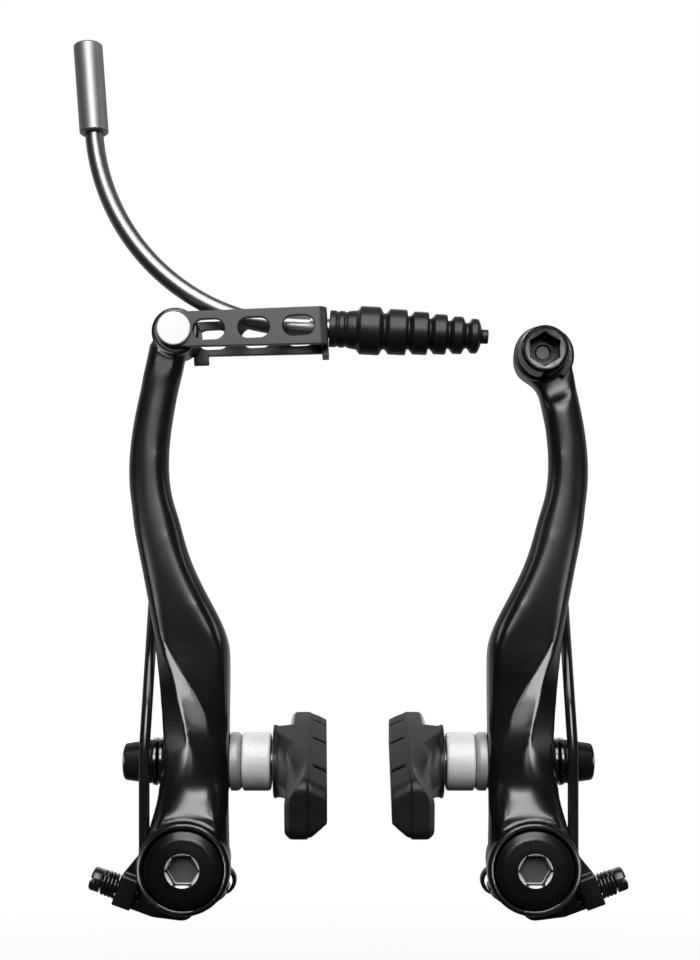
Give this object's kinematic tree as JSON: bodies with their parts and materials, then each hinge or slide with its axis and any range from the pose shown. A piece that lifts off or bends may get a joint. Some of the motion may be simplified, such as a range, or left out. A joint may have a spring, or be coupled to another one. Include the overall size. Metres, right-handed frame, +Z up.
{
  "type": "v brake",
  "caption": "Linear-pull bicycle rim brake: forged sprung arms on pivot bushes, a hinged link holding a curved lead pipe with a rubber boot, and tilting brake shoes.",
  "frame": {"origin": "midway between the two pivot axes, on the face that meets the frame's bosses", "axes": "+X to the right as seen from the front of the brake, +Y into the frame along the pivot axes, +Z up along the arms"},
  "size_m": [0.119, 0.0704, 0.1871],
  "materials": {
    "arm": "satin black anodised",
    "bush": "turned",
    "bolt": "semi-gloss black",
    "holder": "moulded black",
    "pin_steel": "dull plated",
    "spring_wire": "black wire",
    "washer": "dark grey",
    "spacer": "light grey satin",
    "nut": "semi-gloss black",
    "stud": "threaded",
    "shoe_rubber": "matte black",
    "friction_rubber": "matte dark grey",
    "link_sheet": "satin grey",
    "link_pin": "polished",
    "pipe": "satin",
    "ferrule": "light satin",
    "liner": "natural",
    "boot": "satin black",
    "anchor": "semi-gloss black",
    "clamp_plate": "plated"
  },
  "bodies": {
    "frame_side": {"left_pivot_bush": "bush", "right_pivot_bush": "bush", "left_pivot_bolt": "bolt", "right_pivot_bolt": "bolt", "left_spring_holder": "holder", "right_spring_holder": "holder", "left_stop_pin": "pin_steel", "right_stop_pin": "pin_steel", "left_adjust_spring": "pin_steel", "right_adjust_spring": "pin_steel"},
    "left_arm": {"left_arm": "arm", "link_pin": "link_pin", "left_inner_dome_washer": "washer", "left_spacer": "spacer", "left_outer_dome_washer": "washer", "left_outer_cup_washer": "washer", "left_shoe_nut": "nut", "left_return_spring": "spring_wire"},
    "right_arm": {"right_arm": "arm", "cable_clamp_plate": "clamp_plate", "cable_anchor_bolt": "anchor", "right_inner_dome_washer": "washer", "right_spacer": "spacer", "right_outer_dome_washer": "washer", "right_outer_cup_washer": "washer", "right_shoe_nut": "nut", "right_return_spring": "spring_wire"},
    "link": {"link": "link_sheet", "lead_pipe": "pipe", "pipe_liner": "liner", "pipe_ferrule": "ferrule", "pipe_tip": "ferrule", "boot": "boot"},
    "left_shoe": {"left_shoe_back": "shoe_rubber", "left_friction_block": "friction_rubber", "left_shoe_stud": "stud"},
    "right_shoe": {"right_shoe_back": "shoe_rubber", "right_friction_block": "friction_rubber", "right_shoe_stud": "stud"},
    "left_adjuster": {"left_adjust_screw": "pin_steel"},
    "right_adjuster": {"right_adjust_screw": "pin_steel"}
  },
  "joints": [
    {"name": "left_arm_swing", "type": "hinge", "parent": "frame_side", "child": "left_arm", "pos_m": [-0.0365, -0.012, 0], "axis": [0, 1, 0], "range_deg": [-30, 2], "stiffness_Nm_per_rad": 0.7, "deforming": ["left_return_spring"]},
    {"name": "right_arm_swing", "type": "hinge", "parent": "frame_side", "child": "right_arm", "pos_m": [0.0365, -0.012, 0], "axis": [0, -1, 0], "range_deg": [-30, 2], "stiffness_Nm_per_rad": 0.7, "deforming": ["right_return_spring"]},
    {"name": "link_swing", "type": "hinge", "parent": "left_arm", "child": "link", "pos_m": [-0.0384, -0.013, 0.1123], "axis": [0, -1, 0], "range_deg": [0, 60]},
    {"name": "left_shoe_tilt", "type": "hinge", "parent": "left_arm", "child": "left_shoe", "pos_m": [-0.0215, -0.0083, 0.0216], "axis": [1, 0, 0], "range_deg": [-10, 10]},
    {"name": "right_shoe_tilt", "type": "hinge", "parent": "right_arm", "child": "right_shoe", "pos_m": [0.0215, -0.0083, 0.0216], "axis": [1, 0, 0], "range_deg": [-10, 10]},
    {"name": "left_adjuster_turn", "type": "hinge", "parent": "frame_side", "child": "left_adjuster", "pos_m": [-0.0521, -0.0051, -0.006], "axis": [-0.9397, 0, 0.342], "continuous": true},
    {"name": "right_adjuster_turn", "type": "hinge", "parent": "frame_side", "child": "right_adjuster", "pos_m": [0.0521, -0.0051, -0.006], "axis": [0.9397, 0, 0.342], "continuous": true}
  ]
}
